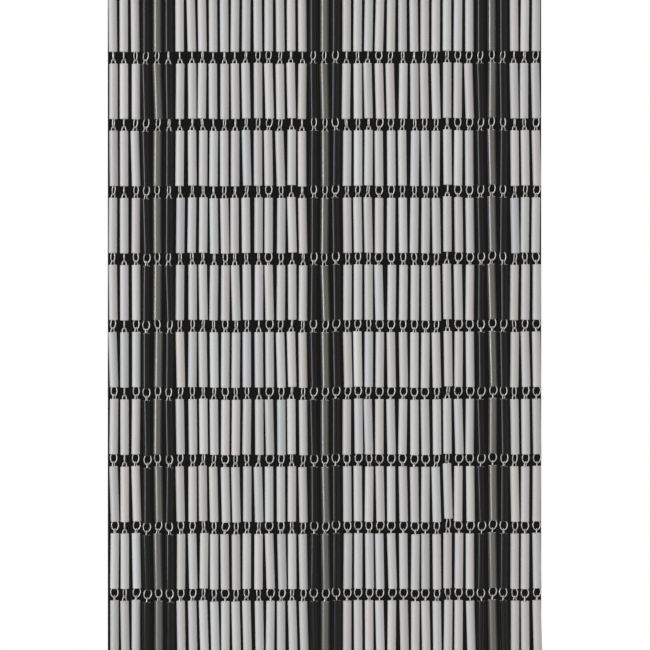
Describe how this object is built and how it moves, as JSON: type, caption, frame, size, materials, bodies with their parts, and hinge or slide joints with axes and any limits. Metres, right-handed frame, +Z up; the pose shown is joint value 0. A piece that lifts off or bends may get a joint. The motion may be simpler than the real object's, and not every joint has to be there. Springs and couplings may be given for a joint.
{
  "type": "fly curtain",
  "caption": "Fly curtain of plastic tubes on linked bent wires, white with grey and black bands, hanging in strands from a hooked aluminium head rail.",
  "frame": {"origin": "middle of the head rail's flat back face", "axes": "+X to the right seen from the front, +Y out of the rail's back face towards the wall, +Z up; the front of the curtain faces -Y"},
  "size_m": [0.37, 0.016, 0.5677],
  "materials": {
    "white_pvc": "warm white extruded PVC, soft gloss",
    "grey_pvc": "mid grey extruded PVC, soft gloss",
    "black_pvc": "black extruded PVC, glossy",
    "link_wire": "bright zinc-plated steel wire",
    "rail_aluminium": "mill-finish aluminium extrusion, fine lengthwise lines",
    "hook_nylon": "dark moulded nylon",
    "cap_plastic": "grey moulded plastic, fine texture"
  },
  "bodies": {
    "rail": {"head_rail": "rail_aluminium", "hook_strip": "hook_nylon", "end_cap_left": "cap_plastic", "end_cap_right": "cap_plastic"},
    "link_1": {"wire_link_1": "link_wire"},
    "sleeve_1": {"tube_1": "white_pvc"},
    "link_2": {"wire_link_2": "link_wire"},
    "sleeve_2": {"tube_2": "white_pvc"},
    "link_3": {"wire_link_3": "link_wire"},
    "sleeve_3": {"tube_3": "white_pvc"},
    "link_4": {"wire_link_4": "link_wire"},
    "sleeve_4": {"tube_4": "white_pvc"},
    "link_5": {"wire_link_5": "link_wire"},
    "sleeve_5": {"tube_5": "white_pvc"},
    "link_6": {"wire_link_6": "link_wire"},
    "sleeve_6": {"tube_6": "white_pvc"},
    "link_7": {"wire_link_7": "link_wire"},
    "sleeve_7": {"tube_7": "white_pvc"},
    "link_8": {"wire_link_8": "link_wire"},
    "sleeve_8": {"tube_8": "white_pvc"},
    "tail": {"tail_tubes": "white_pvc"},
    "strand_01": {"strand_01": "white_pvc"},
    "strand_03": {"strand_03": "white_pvc"},
    "strand_04": {"strand_04": "black_pvc"},
    "strand_05": {"strand_05": "grey_pvc"},
    "strand_06": {"strand_06": "black_pvc"},
    "strand_07": {"strand_07": "white_pvc"},
    "strand_08": {"strand_08": "white_pvc"},
    "strand_09": {"strand_09": "white_pvc"},
    "strand_10": {"strand_10": "white_pvc"},
    "strand_11": {"strand_11": "white_pvc"},
    "strand_12": {"strand_12": "white_pvc"},
    "strand_13": {"strand_13": "white_pvc"},
    "strand_14": {"strand_14": "white_pvc"},
    "strand_15": {"strand_15": "white_pvc"},
    "strand_16": {"strand_16": "white_pvc"},
    "strand_17": {"strand_17": "white_pvc"},
    "strand_18": {"strand_18": "white_pvc"},
    "strand_19": {"strand_19": "black_pvc"},
    "strand_20": {"strand_20": "grey_pvc"},
    "strand_21": {"strand_21": "black_pvc"},
    "strand_22": {"strand_22": "white_pvc"},
    "strand_23": {"strand_23": "white_pvc"},
    "strand_24": {"strand_24": "white_pvc"},
    "strand_25": {"strand_25": "white_pvc"},
    "strand_26": {"strand_26": "white_pvc"},
    "strand_27": {"strand_27": "white_pvc"},
    "strand_28": {"strand_28": "white_pvc"},
    "strand_29": {"strand_29": "white_pvc"},
    "strand_30": {"strand_30": "white_pvc"},
    "strand_31": {"strand_31": "white_pvc"},
    "strand_32": {"strand_32": "white_pvc"},
    "strand_33": {"strand_33": "white_pvc"},
    "strand_34": {"strand_34": "black_pvc"},
    "strand_35": {"strand_35": "grey_pvc"},
    "strand_36": {"strand_36": "black_pvc"},
    "strand_37": {"strand_37": "white_pvc"},
    "strand_38": {"strand_38": "white_pvc"},
    "strand_39": {"strand_39": "white_pvc"}
  },
  "joints": [
    {"name": "link_1_swing", "type": "hinge", "parent": "rail", "child": "link_1", "pos_m": [-0.15984, -0.008, -0.018], "axis": [1, 0, 0], "range_deg": [-60, 60]},
    {"name": "sleeve_1_turn", "type": "hinge", "parent": "link_1", "child": "sleeve_1", "pos_m": [-0.15984, -0.008, -0.018], "axis": [0, 0, 1], "continuous": true},
    {"name": "link_2_swing", "type": "hinge", "parent": "link_1", "child": "link_2", "pos_m": [-0.15984, -0.008, -0.0715], "axis": [-1, 0, 0], "range_deg": [-60, 60]},
    {"name": "sleeve_2_turn", "type": "hinge", "parent": "link_2", "child": "sleeve_2", "pos_m": [-0.15984, -0.008, -0.0715], "axis": [0, 0, 1], "continuous": true},
    {"name": "link_3_swing", "type": "hinge", "parent": "link_2", "child": "link_3", "pos_m": [-0.15984, -0.008, -0.125], "axis": [1, 0, 0], "range_deg": [-60, 60]},
    {"name": "sleeve_3_turn", "type": "hinge", "parent": "link_3", "child": "sleeve_3", "pos_m": [-0.15984, -0.008, -0.125], "axis": [0, 0, 1], "continuous": true},
    {"name": "link_4_swing", "type": "hinge", "parent": "link_3", "child": "link_4", "pos_m": [-0.15984, -0.008, -0.1785], "axis": [-1, 0, 0], "range_deg": [-60, 60]},
    {"name": "sleeve_4_turn", "type": "hinge", "parent": "link_4", "child": "sleeve_4", "pos_m": [-0.15984, -0.008, -0.1785], "axis": [0, 0, 1], "continuous": true},
    {"name": "link_5_swing", "type": "hinge", "parent": "link_4", "child": "link_5", "pos_m": [-0.15984, -0.008, -0.232], "axis": [1, 0, 0], "range_deg": [-60, 60]},
    {"name": "sleeve_5_turn", "type": "hinge", "parent": "link_5", "child": "sleeve_5", "pos_m": [-0.15984, -0.008, -0.232], "axis": [0, 0, 1], "continuous": true},
    {"name": "link_6_swing", "type": "hinge", "parent": "link_5", "child": "link_6", "pos_m": [-0.15984, -0.008, -0.2855], "axis": [-1, 0, 0], "range_deg": [-60, 60]},
    {"name": "sleeve_6_turn", "type": "hinge", "parent": "link_6", "child": "sleeve_6", "pos_m": [-0.15984, -0.008, -0.2855], "axis": [0, 0, 1], "continuous": true},
    {"name": "link_7_swing", "type": "hinge", "parent": "link_6", "child": "link_7", "pos_m": [-0.15984, -0.008, -0.339], "axis": [1, 0, 0], "range_deg": [-60, 60]},
    {"name": "sleeve_7_turn", "type": "hinge", "parent": "link_7", "child": "sleeve_7", "pos_m": [-0.15984, -0.008, -0.339], "axis": [0, 0, 1], "continuous": true},
    {"name": "link_8_swing", "type": "hinge", "parent": "link_7", "child": "link_8", "pos_m": [-0.15984, -0.008, -0.3925], "axis": [-1, 0, 0], "range_deg": [-60, 60]},
    {"name": "sleeve_8_turn", "type": "hinge", "parent": "link_8", "child": "sleeve_8", "pos_m": [-0.15984, -0.008, -0.3925], "axis": [0, 0, 1], "continuous": true},
    {"name": "tail_swing", "type": "hinge", "parent": "link_8", "child": "tail", "pos_m": [-0.15984, -0.008, -0.446], "axis": [1, 0, 0], "range_deg": [-60, 60]},
    {"name": "strand_01_swing", "type": "hinge", "parent": "rail", "child": "strand_01", "pos_m": [-0.16872, -0.008, -0.018], "axis": [1, 0, 0], "range_deg": [-60, 60]},
    {"name": "strand_03_swing", "type": "hinge", "parent": "rail", "child": "strand_03", "pos_m": [-0.15096, -0.008, -0.018], "axis": [1, 0, 0], "range_deg": [-60, 60]},
    {"name": "strand_04_swing", "type": "hinge", "parent": "rail", "child": "strand_04", "pos_m": [-0.14208, -0.008, -0.018], "axis": [1, 0, 0], "range_deg": [-60, 60]},
    {"name": "strand_05_swing", "type": "hinge", "parent": "rail", "child": "strand_05", "pos_m": [-0.1332, -0.008, -0.018], "axis": [1, 0, 0], "range_deg": [-60, 60]},
    {"name": "strand_06_swing", "type": "hinge", "parent": "rail", "child": "strand_06", "pos_m": [-0.12432, -0.008, -0.018], "axis": [1, 0, 0], "range_deg": [-60, 60]},
    {"name": "strand_07_swing", "type": "hinge", "parent": "rail", "child": "strand_07", "pos_m": [-0.11544, -0.008, -0.018], "axis": [1, 0, 0], "range_deg": [-60, 60]},
    {"name": "strand_08_swing", "type": "hinge", "parent": "rail", "child": "strand_08", "pos_m": [-0.10656, -0.008, -0.018], "axis": [1, 0, 0], "range_deg": [-60, 60]},
    {"name": "strand_09_swing", "type": "hinge", "parent": "rail", "child": "strand_09", "pos_m": [-0.09768, -0.008, -0.018], "axis": [1, 0, 0], "range_deg": [-60, 60]},
    {"name": "strand_10_swing", "type": "hinge", "parent": "rail", "child": "strand_10", "pos_m": [-0.0888, -0.008, -0.018], "axis": [1, 0, 0], "range_deg": [-60, 60]},
    {"name": "strand_11_swing", "type": "hinge", "parent": "rail", "child": "strand_11", "pos_m": [-0.07992, -0.008, -0.018], "axis": [1, 0, 0], "range_deg": [-60, 60]},
    {"name": "strand_12_swing", "type": "hinge", "parent": "rail", "child": "strand_12", "pos_m": [-0.07104, -0.008, -0.018], "axis": [1, 0, 0], "range_deg": [-60, 60]},
    {"name": "strand_13_swing", "type": "hinge", "parent": "rail", "child": "strand_13", "pos_m": [-0.06216, -0.008, -0.018], "axis": [1, 0, 0], "range_deg": [-60, 60]},
    {"name": "strand_14_swing", "type": "hinge", "parent": "rail", "child": "strand_14", "pos_m": [-0.05328, -0.008, -0.018], "axis": [1, 0, 0], "range_deg": [-60, 60]},
    {"name": "strand_15_swing", "type": "hinge", "parent": "rail", "child": "strand_15", "pos_m": [-0.0444, -0.008, -0.018], "axis": [1, 0, 0], "range_deg": [-60, 60]},
    {"name": "strand_16_swing", "type": "hinge", "parent": "rail", "child": "strand_16", "pos_m": [-0.03552, -0.008, -0.018], "axis": [1, 0, 0], "range_deg": [-60, 60]},
    {"name": "strand_17_swing", "type": "hinge", "parent": "rail", "child": "strand_17", "pos_m": [-0.02664, -0.008, -0.018], "axis": [1, 0, 0], "range_deg": [-60, 60]},
    {"name": "strand_18_swing", "type": "hinge", "parent": "rail", "child": "strand_18", "pos_m": [-0.01776, -0.008, -0.018], "axis": [1, 0, 0], "range_deg": [-60, 60]},
    {"name": "strand_19_swing", "type": "hinge", "parent": "rail", "child": "strand_19", "pos_m": [-0.00888, -0.008, -0.018], "axis": [1, 0, 0], "range_deg": [-60, 60]},
    {"name": "strand_20_swing", "type": "hinge", "parent": "rail", "child": "strand_20", "pos_m": [0, -0.008, -0.018], "axis": [1, 0, 0], "range_deg": [-60, 60]},
    {"name": "strand_21_swing", "type": "hinge", "parent": "rail", "child": "strand_21", "pos_m": [0.00888, -0.008, -0.018], "axis": [1, 0, 0], "range_deg": [-60, 60]},
    {"name": "strand_22_swing", "type": "hinge", "parent": "rail", "child": "strand_22", "pos_m": [0.01776, -0.008, -0.018], "axis": [1, 0, 0], "range_deg": [-60, 60]},
    {"name": "strand_23_swing", "type": "hinge", "parent": "rail", "child": "strand_23", "pos_m": [0.02664, -0.008, -0.018], "axis": [1, 0, 0], "range_deg": [-60, 60]},
    {"name": "strand_24_swing", "type": "hinge", "parent": "rail", "child": "strand_24", "pos_m": [0.03552, -0.008, -0.018], "axis": [1, 0, 0], "range_deg": [-60, 60]},
    {"name": "strand_25_swing", "type": "hinge", "parent": "rail", "child": "strand_25", "pos_m": [0.0444, -0.008, -0.018], "axis": [1, 0, 0], "range_deg": [-60, 60]},
    {"name": "strand_26_swing", "type": "hinge", "parent": "rail", "child": "strand_26", "pos_m": [0.05328, -0.008, -0.018], "axis": [1, 0, 0], "range_deg": [-60, 60]},
    {"name": "strand_27_swing", "type": "hinge", "parent": "rail", "child": "strand_27", "pos_m": [0.06216, -0.008, -0.018], "axis": [1, 0, 0], "range_deg": [-60, 60]},
    {"name": "strand_28_swing", "type": "hinge", "parent": "rail", "child": "strand_28", "pos_m": [0.07104, -0.008, -0.018], "axis": [1, 0, 0], "range_deg": [-60, 60]},
    {"name": "strand_29_swing", "type": "hinge", "parent": "rail", "child": "strand_29", "pos_m": [0.07992, -0.008, -0.018], "axis": [1, 0, 0], "range_deg": [-60, 60]},
    {"name": "strand_30_swing", "type": "hinge", "parent": "rail", "child": "strand_30", "pos_m": [0.0888, -0.008, -0.018], "axis": [1, 0, 0], "range_deg": [-60, 60]},
    {"name": "strand_31_swing", "type": "hinge", "parent": "rail", "child": "strand_31", "pos_m": [0.09768, -0.008, -0.018], "axis": [1, 0, 0], "range_deg": [-60, 60]},
    {"name": "strand_32_swing", "type": "hinge", "parent": "rail", "child": "strand_32", "pos_m": [0.10656, -0.008, -0.018], "axis": [1, 0, 0], "range_deg": [-60, 60]},
    {"name": "strand_33_swing", "type": "hinge", "parent": "rail", "child": "strand_33", "pos_m": [0.11544, -0.008, -0.018], "axis": [1, 0, 0], "range_deg": [-60, 60]},
    {"name": "strand_34_swing", "type": "hinge", "parent": "rail", "child": "strand_34", "pos_m": [0.12432, -0.008, -0.018], "axis": [1, 0, 0], "range_deg": [-60, 60]},
    {"name": "strand_35_swing", "type": "hinge", "parent": "rail", "child": "strand_35", "pos_m": [0.1332, -0.008, -0.018], "axis": [1, 0, 0], "range_deg": [-60, 60]},
    {"name": "strand_36_swing", "type": "hinge", "parent": "rail", "child": "strand_36", "pos_m": [0.14208, -0.008, -0.018], "axis": [1, 0, 0], "range_deg": [-60, 60]},
    {"name": "strand_37_swing", "type": "hinge", "parent": "rail", "child": "strand_37", "pos_m": [0.15096, -0.008, -0.018], "axis": [1, 0, 0], "range_deg": [-60, 60]},
    {"name": "strand_38_swing", "type": "hinge", "parent": "rail", "child": "strand_38", "pos_m": [0.15984, -0.008, -0.018], "axis": [1, 0, 0], "range_deg": [-60, 60]},
    {"name": "strand_39_swing", "type": "hinge", "parent": "rail", "child": "strand_39", "pos_m": [0.16872, -0.008, -0.018], "axis": [1, 0, 0], "range_deg": [-60, 60]}
  ]
}
